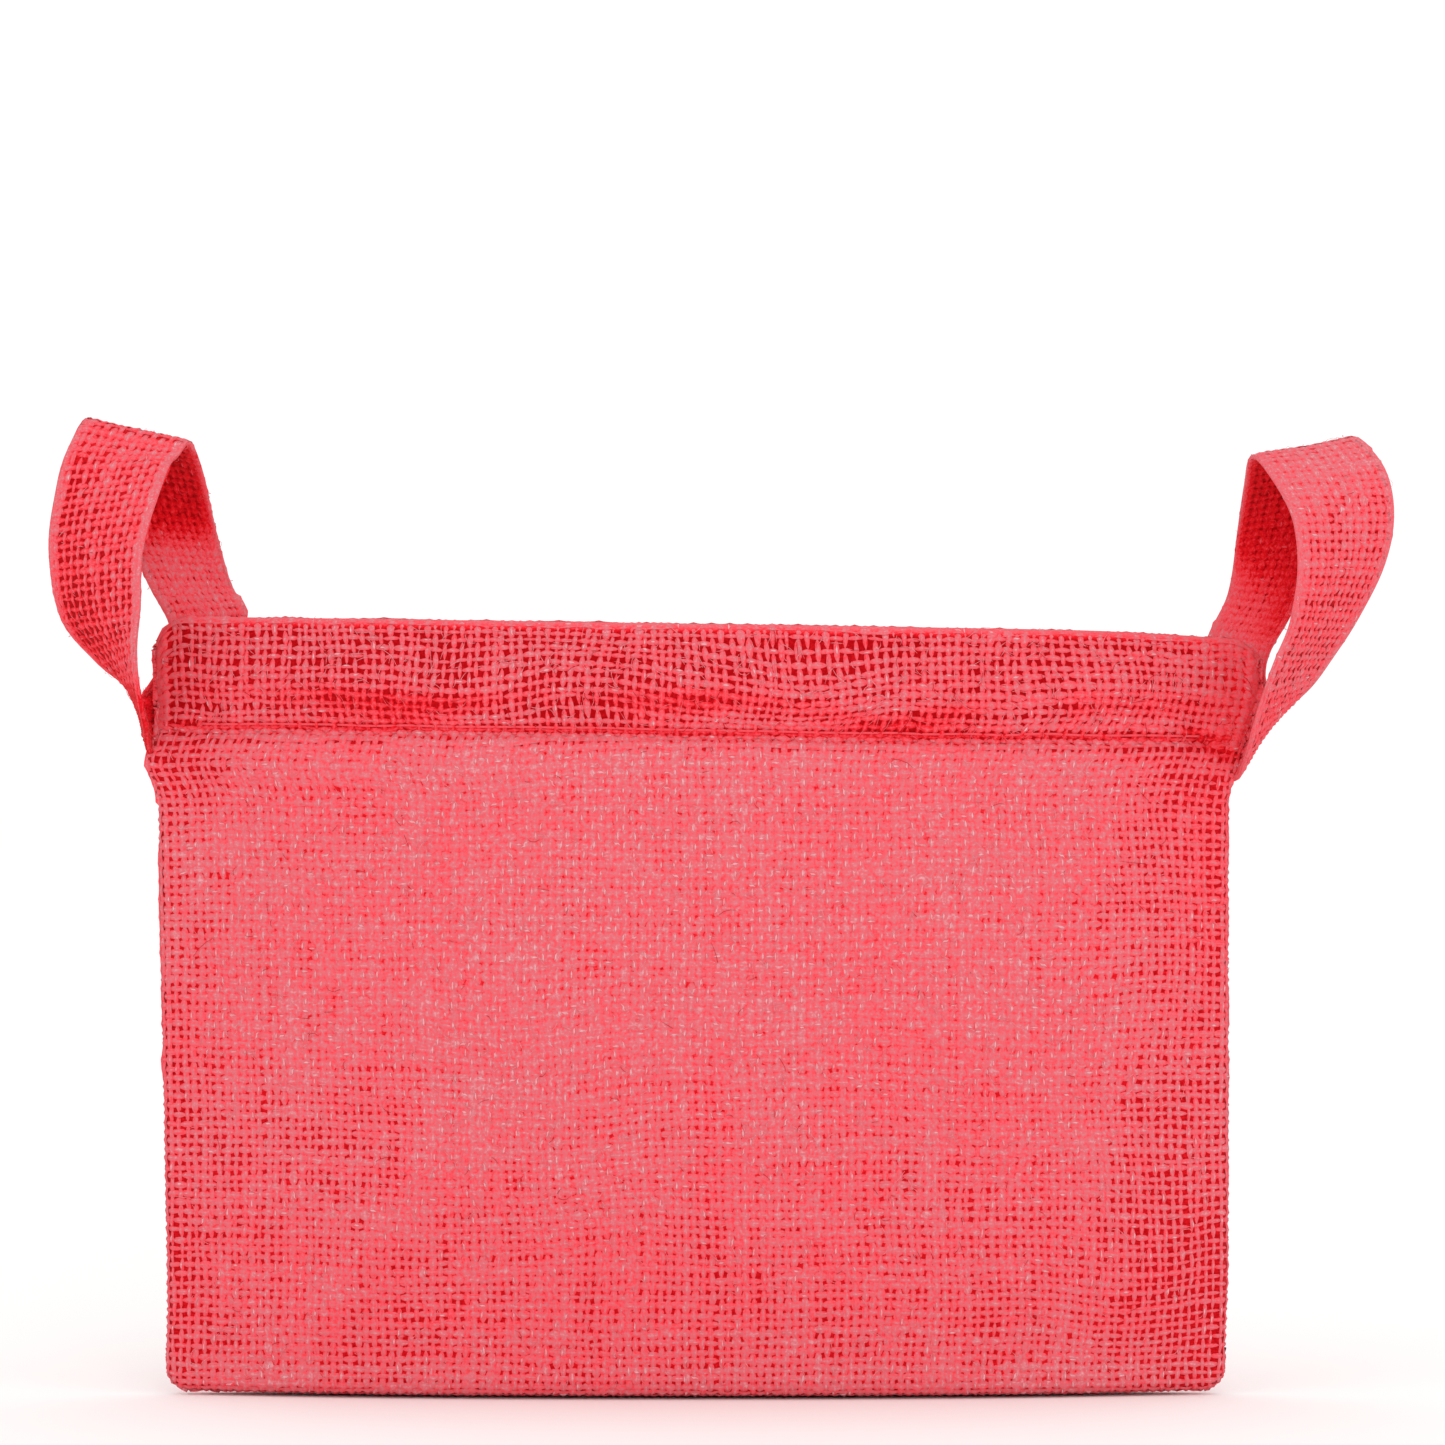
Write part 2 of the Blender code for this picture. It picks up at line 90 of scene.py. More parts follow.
def dyed_fibre(name, grain, lumps_and_gap_shade, dye, streak):
    """Dyed spun fibre: matt and hairy with a soft sheen, coral. Its shade attribute also carries painted
    shade, deep red in the hollows and the gaps, and painted highlights, pale pink on the crowns.

    grain is the size of the fibre's lumps; the next three arguments say how much the lumps, the dye and the
    fibres that run along a yarn vary its shade.
    """
    material = bpy.data.materials.new(name)
    material.use_nodes = True
    tree = material.node_tree
    shader = tree.nodes["Principled BSDF"]
    shader.inputs["Roughness"].default_value = 0.9
    shader.inputs["Specular IOR Level"].default_value = 0.03
    shader.inputs["Sheen Weight"].default_value = 0.12
    shader.inputs["Sheen Roughness"].default_value = 0.5
    shader.inputs["Sheen Tint"].default_value = linear("#FFC4C4")
    place = add_node(tree, "ShaderNodeTexCoord")
    shade = add_node(tree, "ShaderNodeAttribute", attribute_name="shade")
    lumps = add_node(tree, "ShaderNodeTexNoise", [(place, "Object", "Vector")],
                     Scale=1 / grain, Detail=3.0)
    patches = add_node(tree, "ShaderNodeTexNoise", [(place, "Object", "Vector")],
                       Scale=1 / DYE_PATCH, Detail=4.0)
    spun = add_node(tree, "ShaderNodeMapping", [(place, "UV", "Vector")], Scale=(90, 900, 1))
    streaks = add_node(tree, "ShaderNodeTexNoise", [(spun, "Vector", "Vector")], Scale=1.0, Detail=2.0)
    linted = add_node(tree, "ShaderNodeMath", [(lumps, "Fac", 0), (shade, "Fac", 2)],
                      operation="MULTIPLY_ADD", input_1=lumps_and_gap_shade)
    dyed = add_node(tree, "ShaderNodeMath", [(patches, "Fac", 0), (linted, "Value", 2)],
                    operation="MULTIPLY_ADD", input_1=dye)
    spun_tone = add_node(tree, "ShaderNodeMath", [(streaks, "Fac", 0), (dyed, "Value", 2)],
                         operation="MULTIPLY_ADD", input_1=streak)
    level = add_node(tree, "ShaderNodeMath", [(spun_tone, "Value", 0)], operation="SUBTRACT",
                     input_1=(lumps_and_gap_shade + dye + streak) / 2)
    ramp = add_node(tree, "ShaderNodeValToRGB", [(level, "Value", "Fac")])
    stops = ((0.0, "#A4030A"), (0.3, "#E21521"), (0.55, "#EE4E59"), (0.72, "#D66F77"),
             (1.0, "#E4B0B4"))
    ramp.color_ramp.elements[0].color = linear(stops[0][1])
    ramp.color_ramp.elements[1].color = linear(stops[-1][1])
    for at, colour in stops[1:-1]:
        ramp.color_ramp.elements.new(at).color = linear(colour)
    tree.links.new(ramp.outputs["Color"], shader.inputs["Base Color"])
    bump = add_node(tree, "ShaderNodeBump", [(lumps, "Fac", "Height")],
                    Strength=0.3, Distance=grain * 0.3)
    tree.links.new(bump.outputs["Normal"], shader.inputs["Normal"])
    return material


def smooth(value, low, high):
    """Eases from 0 at low to 1 at high."""
    t = np.clip((value - low) / (high - low), 0, 1)
    return t * t * (3 - 2 * t)


def unit(vectors):
    """Vectors of the same directions and of length 1."""
    return vectors / np.maximum(np.linalg.norm(vectors, axis=-1, keepdims=True), 1e-12)


def wander(rng, lines, steps, knots):
    """A smooth random wave along each of a number of lines, about -1 to 1."""
    coarse = rng.standard_normal((lines, knots + 2)) * 0.6
    at = np.linspace(0, knots, steps)
    low = at.astype(int)
    share = smooth(at - low, 0, 1)
    return coarse[:, low] * (1 - share) + coarse[:, low + 1] * share


CHANCE = np.random.default_rng(7).standard_normal((12, 64, 64)) * 0.6


def patchy(layer, cell, x, y):
    """Smooth random patches of a given size over a surface, about -1 to 1."""
    u, v = (0.81 * x + 0.59 * y) / cell + 31.3, (0.81 * y - 0.59 * x) / cell + 17.7
    i, j = np.floor(u).astype(int), np.floor(v).astype(int)
    s, t = smooth(u - i, 0, 1), smooth(v - j, 0, 1)
    grid = CHANCE[layer]
    i, j, i_next, j_next = i % 64, j % 64, (i + 1) % 64, (j + 1) % 64
    low = grid[j, i] * (1 - s) + grid[j, i_next] * s
    high = grid[j_next, i] * (1 - s) + grid[j_next, i_next] * s
    return low * (1 - t) + high * t


def side_edge(side, z):
    """X of the bag's left (-1) and right (1) side edge at a height."""
    left = -0.2222 - 0.018 * z - 0.0010 * np.exp(-((z - 0.010) / 0.020) ** 2)
    left = left - 0.0050 * np.exp(-((z - 0.266) / 0.0095) ** 2)
    right = 0.2253 - 0.0016 * smooth(-z, -0.06, 0.0) + 0.0130 * smooth(z, 0.244, 0.302)
    return np.where(side < 0, left, right)


def mouth_height(x):
    """Height of the mouth's edge, which slopes to the right and rounds off at its ends."""
    left = np.clip((-0.2120 - x) / 0.016, 0, 0.99)
    right = np.clip((x - 0.2250) / 0.0135, 0, 0.99)
    ends = 0.0165 * (1 - np.sqrt(1 - left ** 2)) + 0.0105 * (1 - np.sqrt(1 - right ** 2))
    return 0.3238 - 0.0155 * x - 0.38 * np.maximum(0, x - 0.146) ** 2 - ends


def band_foot(x):
    """Height of the band's lower edge, where its stitches are."""
    return 0.2765 - 0.0133 * x + 0.0009 * patchy(0, 0.022, x, 0 * x)


def half_depth(z):
    """Half the bag's depth at a height: fullest at its belly, less at the ground and at the mouth."""
    low = 0.045 - 0.015 * np.minimum(z / 0.170 - 1, 0) ** 2
    return low - 0.009 * np.maximum((z - 0.170) / 0.155, 0) ** 2


def seam_half(z):
    """Half the gap between the panels at a side seam, which opens where the strap passes."""
    return 0.0009 + 0.0017 * smooth(z, 0.244, 0.252) * (1 - smooth(z, 0.292, 0.300))


def beside(x, z, start, end, width):
    """1 along a straight line on the cloth, falling to 0 beside it and beyond its ends."""
    way = np.subtract(end, start)
    length = np.hypot(*way)
    along = ((x - start[0]) * way[0] + (z - start[1]) * way[1]) / length
    off = ((x - start[0]) * way[1] - (z - start[1]) * way[0]) / length
    past = np.maximum(np.abs(along - length / 2) - length / 2, 0)
    return np.exp(-(off / width) ** 2 - (past / (2 * width)) ** 2)


def soft_fold(x, z):
    """The soft slanting fold in the lower left of the panel."""
    return beside(x, z, (-0.099, 0.110), (-0.165, 0.026), 0.011)


def tuck(x, z):
    """The short deep crease under the right end of the band, where the strap pulls at the seam."""
    return beside(x, z, (0.211, 0.2755), (0.229, 0.2680), 0.0026)


def swell(facing, x, z):
    """How far the cloth stands out from the bag's plain skin: the band's puff, its groove and puckers."""
    foot, top = band_foot(x), mouth_height(x)
    up = (z - foot) / (top - foot)
    slack, crest = 0.35 + 0.20 * patchy(1, 0.030, x, facing * 0.3 + 0 * x), 0.50 + 0 * x
    for at, wide, sag in ((-0.115, 0.040, 0.10), (-0.012, 0.036, 0.03), (0.080, 0.032, 0.22)):
        swag = np.exp(-((x - at) / wide) ** 2)
        slack, crest = slack + 0.80 * swag, crest - sag * swag
    puff = 0.0046 * slack * np.exp(-((up - crest) / np.where(up < crest, 0.21, 0.34)) ** 2)
    pucker = 0.0008 * patchy(3, 0.011, x, z / 3 + facing) * np.exp(-((z - foot - 0.008) / 0.014) ** 2)
    groove = -0.0012 * np.exp(-((z - foot) / 0.0035) ** 2)
    ends = smooth(0.232 - np.abs(x), 0.0, 0.030)
    waves = 0.0016 * patchy(4, 0.062, x, z + facing) + 0.0006 * patchy(5, 0.024, x, z + facing)
    waves = waves + 0.0018 * soft_fold(x, z)
    return (puff + pucker + groove + waves * smooth(z, 0.006, 0.04)) * ends - 0.0022 * tuck(x, z)


def skin(facing, a, z, depth):
    """A point at a distance along the cloth from the panel's middle, at a height, and out from the skin."""

    def plan(a):
        side = np.where(a < 0, -1.0, 1.0)
        far = CLOTH_REACH - np.abs(a)
        turn = np.clip(far / SIDE_ROUND, 0, math.pi / 2)
        share = np.clip((far - SIDE_ROUND * math.pi / 2) / (CLOTH_REACH - SIDE_ROUND * math.pi / 2), 0, 1)
        edge = side_edge(side, z)
        inset = SIDE_ROUND * (1 - np.cos(turn)) + share * (np.abs(edge) - SIDE_ROUND) + np.maximum(-far, 0)
        out = SIDE_ROUND * np.sin(turn) + (half_depth(z) - SIDE_ROUND) * (1 - (1 - share) ** 2.6)
        return edge - side * inset, np.maximum(out, seam_half(z))

    x, y = plan(a)
    x_next, y_next = plan(a + 0.0004)
    x_last, y_last = plan(a - 0.0004)
    along = unit(np.stack([x_next - x_last, y_next - y_last], axis=-1))
    lift = np.where(np.abs(a) > CLOTH_REACH, 0, depth + swell(facing, x, z))
    near = smooth(CLOTH_REACH - np.abs(a), 0.0, 0.012)
    lift = np.where(lift < 0, lift * (0.25 + 0.75 * near), lift)
    y = y + along[..., 0] * lift
    return np.stack([x - along[..., 1] * lift, facing * np.maximum(y, seam_half(z)), z], axis=-1)


def panel_foot(a):
    """Where a panel's wall starts, the radius that it turns in, and the length of cloth under the bag."""
    side = np.where(a < 0, -1.0, 1.0)
    start = skin(BACK, a, np.zeros_like(a), 0.0)
    radius = np.clip(start[..., 1] - seam_half(0.0), 0.0008, FOOT_ROUND)
    inset = np.abs(side_edge(side, 0.0)) - np.abs(start[..., 0])
    corner = np.clip((CORNER - inset) / CORNER, 0, 1)
    lift = CORNER * (1 - np.sqrt(1 - corner ** 2))
    flat = np.maximum(start[..., 1] - radius - seam_half(0.0), 0)
    return start, radius, lift, flat


def panel_surface(facing):
    """A panel as a function of the place across the cloth and the height, below 0 under the bag."""

    def surface(a, up):
        free = smooth(CLOTH_REACH - np.abs(a), 0.004, 0.03) * smooth(up, 0.0, 0.03)
        a, up = (a + 0.0018 * free * patchy(6, 0.044, a, up + facing),
                 up + 0.0024 * free * patchy(7, 0.050, a, up + facing))
        start, radius, lift, flat = panel_foot(a)
        below = lift + radius - up
        turn = np.clip(below / radius, 0, math.pi / 2)
        under = np.clip(below - radius * math.pi / 2, 0, flat)
        folded = np.maximum(below - radius * math.pi / 2 - flat, 0)
        foot = band_foot(start[..., 0])
        depth = PANEL_DEPTH + 0.0007 * np.exp(-((up - foot + 0.0040) / 0.003) ** 2)
        depth = depth + (TUCKED_DEPTH - PANEL_DEPTH) * smooth(up, foot - 0.003, foot + 0.003)
        wall = skin(facing, a, np.maximum(up, 0.0), depth)
        ground_y = start[..., 1] - radius * (1 - np.cos(turn)) - under + PANEL_DEPTH
        ground_z = lift + radius - radius * np.sin(turn) + folded - PANEL_DEPTH * np.sin(turn)
        ground = np.stack([start[..., 0], facing * np.maximum(ground_y, seam_half(0.0)), ground_z], axis=-1)
        return np.where((below > 0)[..., None], ground, wall)

    return surface


def surface_frame(surface, a, b, flip):
    """Points of a surface with their outward normals."""
    step = 0.0003
    across = surface(a + step, b) - surface(a - step, b)
    up = surface(a, b + step) - surface(a, b - step)
    return surface(a, b), unit(np.cross(across, up)) * flip


def halves(places):
    """The places of the yarns with the places midway between them."""
    found = np.empty(2 * len(places) - 1)
    found[0::2] = places
    found[1::2] = (places[1:] + places[:-1]) / 2
    return found


def make_piece(name, points, corners, shades, uvs, material, body):
    """A mesh piece of four-cornered faces with a shade at each point, riding on a body if one is given."""
    mesh = bpy.data.meshes.new(name)
    mesh.vertices.add(len(points))
    mesh.vertices.foreach_set("co", points.ravel())
    mesh.loops.add(corners.size)
    mesh.loops.foreach_set("vertex_index", corners.ravel().astype(np.int32))
    mesh.polygons.add(len(corners))
    mesh.polygons.foreach_set("loop_start", np.arange(0, corners.size, 4, dtype=np.int32))
    mesh.polygons.foreach_set("use_smooth", np.ones(len(corners), dtype=bool))
    mesh.uv_layers.new(name="OFBake").data.foreach_set("uv", uvs.ravel())
    mesh.attributes.new("shade", "FLOAT", "POINT").data.foreach_set("value", shades.ravel())
    mesh.materials.append(material)
    mesh.update(calc_edges=True)
    mesh.validate()
    piece = bpy.data.objects.new(name, mesh)
    bpy.context.scene.collection.objects.link(piece)
    if body:
        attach(piece, body)
    return piece


def lay_yarns(name, lines, material, body):
    """One piece of many yarns. Each is a four-sided tube with closed ends and strips of the UV map."""
    points, corners, shades, uvs = [], [], [], []
    first = 0
    strips = 4 * len(lines)
    for k, (line, normals, width, thick, shade) in enumerate(lines):
        count = len(line)
        along = np.gradient(line, axis=0)
        side = unit(np.cross(along, normals))
        out = unit(np.cross(side, along))
        wide, high = side * np.reshape(width, (-1, 1)), out * np.reshape(thick, (-1, 1))
        tube = np.stack([line + wide, line + high, line - wide, line - high], axis=1)
        points.append(tube.reshape(-1, 3))
        shades.append(np.broadcast_to(shade, (count, 4)).ravel())
        ring = np.arange(count - 1)[:, None] * 4 + first
        edge = np.arange(4)[None, :]
        after = (edge + 1) % 4
        quads = np.stack([ring + edge, ring + 4 + edge, ring + 4 + after, ring + after], axis=-1)
        quads = quads.reshape(-1, 4)
        start = (np.arange(count - 1)[:, None] + 0 * edge) / (count - 1)
        end = start + 1 / (count - 1)
        strip = (4 * k + edge + 0 * ring) / strips
        top = strip + 0.8 / strips
        uv = np.stack([np.stack([start, strip], -1), np.stack([end, strip], -1),
                       np.stack([end, top], -1), np.stack([start, top], -1)], axis=2).reshape(-1, 4, 2)
        last = first + (count - 1) * 4
        caps = [[first, first + 1, first + 2, first + 3], [last + 3, last + 2, last + 1, last]]
        corners += [quads, caps]
        uvs += [uv, np.broadcast_to([0.0, 4 * k / strips], (2, 4, 2))]
        first += count * 4
    piece = make_piece(name, np.concatenate(points), np.concatenate(corners), np.concatenate(shades),
                       np.concatenate(uvs), material, body)
    ends = np.empty(2 * len(piece.data.edges), dtype=np.int32)
    piece.data.edges.foreach_get("vertices", ends)
    ends = ends.reshape(-1, 2) % 4
    creased = (ends[:, 0] == ends[:, 1]) & (ends[:, 0] % 2 == 0)
    piece.data.attributes.new("sharp_edge", "BOOLEAN", "EDGE").data.foreach_set("value", creased)
    return piece


def weave(surface, flip, warps, wefts, inside, look, crimp, dive_shadow, rng):
    """Plain weave on a surface: the yarns one way, those the other way, and pale flecks on their crowns.

    inside says which places belong to the cloth. look gives the share of its spacing that a yarn fills,
    the shade of its crown and of its edges, the chance of a pale fleck where it comes to the top, and how
    far its crimp is pressed flat. crimp is how far a yarn rises and falls, and the argument after it is how
    much painted shadow darkens a yarn where it goes down between its neighbours. The pale flecks are
    painted highlights, and the darker edges of a yarn are painted shade.
    """
    found, crown_glints = [], []
    for upright in (True, False):
        own, other = (warps, wefts) if upright else (wefts, warps)
        pitch = np.median(np.abs(np.diff(own)))
        along = halves(other)
        steps = len(along)
        drift = 0.12 * wander(rng, len(own), steps, max(3, steps // 20))
        drift = drift + 0.13 * wander(rng, len(own), steps, steps // 5)
        slub = wander(rng, len(own), steps, max(4, steps // 8))
        slub = slub + 0.6 * wander(rng, len(own), steps, steps // 2)
        mine = own[:, None] + drift * pitch
        theirs = np.broadcast_to(along, mine.shape)
        a, b = (mine, theirs) if upright else (theirs, mine)
        points, normals = surface_frame(surface, a, b, flip)
        over = (np.arange(len(own))[:, None] + np.arange(steps)[None, :] // 2) % 2 * 2.0 - 1
        over = np.where(np.arange(steps)[None, :] % 2 == 0, over, 0) * (1 if upright else -1)
        fill, crown, edge, glint_chance, pressed = look(points, normals, a, b, upright)
        slub = np.clip(slub, -1.4, 1.8)
        stout = 1 + 0.07 * rng.standard_normal((len(own), 1))
        width = 0.5 * pitch * fill * (1 + 0.24 * slub) * stout * np.where(over > 0, 1.10, 0.90)
        thick = YARN_HALF * (1 + 0.12 * slub) * (1 - 0.75 * pressed)
        tone = 0.015 * rng.standard_normal((len(own), 1)) + 0.02 * slub
        # Painted shadow: a yarn's crown and edges darken where it dives under its neighbours.
        dip = np.where(over > 0, 0, 1 - pressed)
        crown, edge = crown + tone + 0.02 - 0.5 * dive_shadow * dip, edge + tone - dive_shadow * dip
        shade = np.stack([edge, crown, edge, 0.62 + tone], axis=-1)
        points = points + normals * (over * crimp * (1 - pressed))[..., None]
        keep = inside(a, b)
        lines = []
        for k in range(len(own)):
            part = np.flatnonzero(keep[k])
            if len(part) > 2:
                run = slice(part[0], part[-1] + 1)
                lines.append((points[k, run], normals[k, run], width[k, run], thick[k, run],
                              np.clip(shade[k, run], 0, 1)))
        found.append(lines)
        # Painted highlights: short pale strips laid on the crowns where a yarn comes to the top.
        chosen = keep & (over > 0) & (rng.uniform(0, 1, over.shape) < glint_chance)
        chosen[:, 0] = chosen[:, -1] = False
        k, i = np.nonzero(chosen)
        reach = rng.uniform(0.22, 0.42, (len(k), 1))
        run = (points[k, i + 1] - points[k, i - 1]) * reach
        lean = unit(np.cross(run, normals[k, i]))
        aside = width[k, i][:, None] * rng.uniform(-0.5, 0.5, (len(k), 1))
        slant = width[k, i][:, None] * rng.normal(0, 0.15, (len(k), 1))
        top = points[k, i] + normals[k, i] * (thick[k, i] * 0.92)[:, None] + lean * aside
        low = normals[k, i] * 0.00030
        for at in range(len(k)):
            line = np.stack([top[at] - run[at] - lean[at] * slant[at] - low[at], top[at] - run[at] * 0.4,
                             top[at] + run[at] * 0.4, top[at] + run[at] + lean[at] * slant[at] - low[at]])
            crown_glints.append((line, np.broadcast_to(normals[k[at], i[at]], (4, 3)),
                           np.array([0.00010, 0.00030, 0.00028, 0.00010]), np.full(4, 0.00020),
                           min(crown[k[at], i[at]] + 0.20, 1.0)))
    return found[0], found[1], crown_glints


def lay_gap_shade_sheet(name, surface, flip, warps, wefts, inside, tone, material, body):
    """A thin layer in the gaps between the yarns, which tone shades and lifts; its dark red is painted
    shade, standing for the dark seen through the gaps.
    """
    a, b = np.meshgrid(warps, wefts, indexing="ij")
    points, normals = surface_frame(surface, a, b, flip)
    keep = inside(a, b)
    number = np.arange(a.size).reshape(a.shape)
    corners = np.stack([number[:-1, :-1], number[1:, :-1], number[1:, 1:], number[:-1, 1:]], axis=-1)
    whole = keep[:-1, :-1] & keep[1:, :-1] & keep[1:, 1:] & keep[:-1, 1:]
    corners = corners[whole][:, ::int(flip)]
    used, corners = np.unique(corners, return_inverse=True)
    corners = corners.reshape(-1, 4)
    places = np.stack([(a - a.min()) / np.ptp(a), (b - b.min()) / np.ptp(b)], axis=-1)
    places = places.reshape(-1, 2)[used]
    shade, lift = tone(points, normals, a, b)
    shades = np.clip(shade, 0, 1).ravel()[used]
    points = points + normals * lift[..., None]
    return make_piece(name, points.reshape(-1, 3)[used], corners, shades, places[corners], material, body)


def stray_fibres(surface, flip, low, high, count, length, stand, inside, look, rng):
    """Loose fibres that lie on the cloth or stand off it."""
    a = rng.uniform(low[0], high[0], count)[:, None]
    b = rng.uniform(low[1], high[1], count)[:, None]
    angle = rng.uniform(0, 2 * math.pi, (count, 1))
    angle = angle + np.array([0, 1, 2, 3]) * rng.normal(0, 0.35, (count, 1))
    long = length * np.exp(rng.normal(0, 0.4, (count, 1)))
    step = np.array([0, 1, 1, 1]) * long / 3
    a = a + np.cumsum(np.cos(angle) * step, axis=1)
    b = b + np.cumsum(np.sin(angle) * step, axis=1)
    points, normals = surface_frame(surface, a, b, flip)
    arch = np.array([0.0005, 0.0013, 0.0014, 0.0009])
    # A fibre takes the crown shade that look gives where it lies, painted shade included.
    crown = look(points, normals, a, b, True)[1].mean(axis=1)
    shade = np.clip(crown + np.where(rng.uniform(0, 1, count) < 0.92, 0.08, -0.6), 0, 1)
    arch = arch + stand * rng.uniform(0, 1, (count, 1)) * np.array([0, 0.2, 0.55, 1])
    points = points + normals * arch[..., None]
    width, thick = np.array([0.00008, 0.00011, 0.00010, 0.00004]), np.full(4, 0.00007)
    keep = inside(a, b).all(axis=1)
    return [(points[k], normals[k], width, thick, shade[k]) for k in np.flatnonzero(keep)]


hessian = dyed_fibre("dyed_jute_hessian", grain=0.0011, lumps_and_gap_shade=0.50, dye=0.12, streak=0.45)


DRAWN_PLACES = (            # how far the weave is drawn open, the place's X and height, its reach each way
    (0.65, -0.208, 0.267, 0.036, 0.013),
    (0.20, -0.125, 0.085, 0.065, 0.035),
    (0.36, -0.178, 0.114, 0.048, 0.020),
    (0.40, 0.216, 0.030, 0.014, 0.028),
)


def openness(facing, x, z):
    """How far a panel's weave stands open: least in its middle, most by the seams and the ground."""
    ground = 0.58 * (1 - smooth(z, 0.010, 0.190))
    left = 0.55 * (1 - smooth(x, -0.230, -0.185))
    right = 0.82 * smooth(x, 0.152, 0.208) * (1 - 0.40 * np.exp(-((z - 0.140) / 0.020) ** 2))
    right = right * (0.68 + 0.32 * smooth(z, 0.10, 0.17))
    drawn = 0.50 * np.exp(-((z - band_foot(x) + 0.0015) / 0.0040) ** 2) - 0.15 * (1 - smooth(z, 0.0, 0.018))
    for amount, at_x, at_z, wide, high in DRAWN_PLACES:
        drawn = drawn + amount * np.exp(-((x - at_x) / wide) ** 2 - ((z - at_z) / high) ** 2)
    rough = 0.13 * patchy(8, 0.038, x, z + facing) + 0.15 * patchy(9, 0.010, x, z + facing)
    return np.clip(ground + left + right + drawn + rough - 0.34 * soft_fold(x, z), 0, 1.15)


for facing, word in ((FRONT, "front"), (BACK, "back")):
    rng = np.random.default_rng(11 + facing)
    reach = CLOTH_REACH + SIDE_ALLOWANCE
    warp_places = np.linspace(-reach, reach, 2 * round(reach / WARP_PITCH) + 1)
    weft_places = np.arange(LOWEST_WEFT, HIGHEST_WEFT, WEFT_PITCH)
    surface = panel_surface(facing)

    def inside_panel(a, up):
        start, radius, lift, flat = panel_foot(a)
        allowance = ALLOWANCE * smooth(0.215 - np.abs(a), 0, 0.01)
        lowest = lift + radius - radius * math.pi / 2 - flat - allowance
        return (up > lowest) & (up < band_foot(start[..., 0]) + 0.011)

    def panel_look(points, normals, a, up, upright):
        x, z = points[..., 0], points[..., 2]
        opened = openness(facing, x, z)
        # Painted shade: darker where the cloth faces down, in the tuck under the band and along the right
        # edge, and a little lighter just above the ground.
        shadow = 0.12 * np.clip(-normals[..., 2], 0, 1) + 0.20 * tuck(x, z)
        shadow = shadow - 0.05 * (1 - smooth(z, 0.0, 0.03))
        shadow = shadow + 0.06 * smooth(x, 0.190, 0.218) * smooth(z, 0.150, 0.200)
        # Painted highlights on the crowns: likeliest in the closed middle, fewest where the weave is open
        # and in the tuck.
        glint_chance = (0.60 if upright else 0.16) * (1 - 0.85 * np.clip(opened / 0.5, 0, 1)) * (1 - tuck(x, z))
        fill, crown, edge, pressed = 1.05 - 0.47 * opened, 0.70, 0.66 - 0.06 * opened, 0 * x
        return fill, crown - shadow, edge - shadow, glint_chance, pressed

    # Painted shade: the sheet in the gaps is dark red, darker where the weave stands open.
    def panel_gap_shade(points, normals, a, up):
        opened = openness(facing, points[..., 0], points[..., 2])
        return 0.34 - 0.22 * np.clip(opened / 0.6, 0, 1), 0 * opened

    upright, level, crown_glints = weave(surface, -facing, warp_places, weft_places, inside_panel, panel_look,
                                   crimp=0.00042, dive_shadow=0.10, rng=rng)
    warp = lay_yarns(f"{word}_panel_warp", upright, hessian, "bag")
    weft = lay_yarns(f"{word}_panel_weft", level, hessian, "bag")
    lumps_and_gap_shade = lay_gap_shade_sheet(f"{word}_panel_gap_shade", surface, -facing, warp_places, weft_places, inside_panel,
                    panel_gap_shade, hessian, "bag")
    loose = stray_fibres(surface, -facing, low=(-0.225, 0.006), high=(0.225, 0.270), count=1600,
                         length=0.0036, stand=0.0003, inside=inside_panel, look=panel_look, rng=rng)
    fibres = lay_yarns(f"{word}_panel_fibres", crown_glints + loose, hessian, "bag")
    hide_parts(f"{word}_panel")


# The band round the mouth. A separate strip of a heavier, more open hessian is folded over the top edge of
# each panel and sewn down along its lower edge; it puffs out above the stitches and puckers along them.

BAND_WARP_PITCH = 0.00368
BAND_WEFT_PITCH = 0.00415
BAND_OUTER = 0.0465         # cloth from the lower edge up to the fold
BAND_FOLD = 0.0085          # cloth in the fold
BAND_INNER = 0.0400         # cloth from the fold down inside the bag
FOLD_RADIUS = 0.0027
BAND_SEWN = 0.0032          # cloth drawn close by the stitches, from the lower edge
RIGHT_PULL = 0.203, 0.230   # from here to here along X the right strap draws the band's weave close


def band_surface(facing):
    """The band as a function of the place across the cloth and the way up, over its fold and down."""

    def surface(a, b):
        free = smooth(CLOTH_REACH - np.abs(a), 0.0, 0.02) * smooth(b, 0.002, 0.012)
        a, b = (a + 0.0026 * free * patchy(6, 0.030, a, b + 2 + facing),
                b + 0.0046 * free * smooth(BAND_OUTER - b, 0, 0.016) * patchy(7, 0.044, a, b + 2 + facing))
        x = skin(BACK, a, np.full_like(a, 0.30), 0.0)[..., 0]
        foot, top = band_foot(x), mouth_height(x)
        radius = FOLD_RADIUS * (0.35 + 0.65 * smooth(CLOTH_REACH - np.abs(a), 0.002, 0.030))
        height = top - radius - foot
        up = b / BAND_OUTER * height
        turn = np.clip((b - BAND_OUTER) / BAND_FOLD, 0, 1) * math.pi
        down = np.maximum(b - BAND_OUTER - BAND_FOLD, 0) / BAND_INNER * (height - 0.004)
        z = foot + np.minimum(up, height) + radius * np.sin(turn) - down
        sewn_in = 0.0007 * (1 - smooth(b, 0.0, 0.004))
        return skin(facing, a, z, PANEL_DEPTH + 0.0004 - sewn_in - radius * (1 - np.cos(turn)))

    return surface


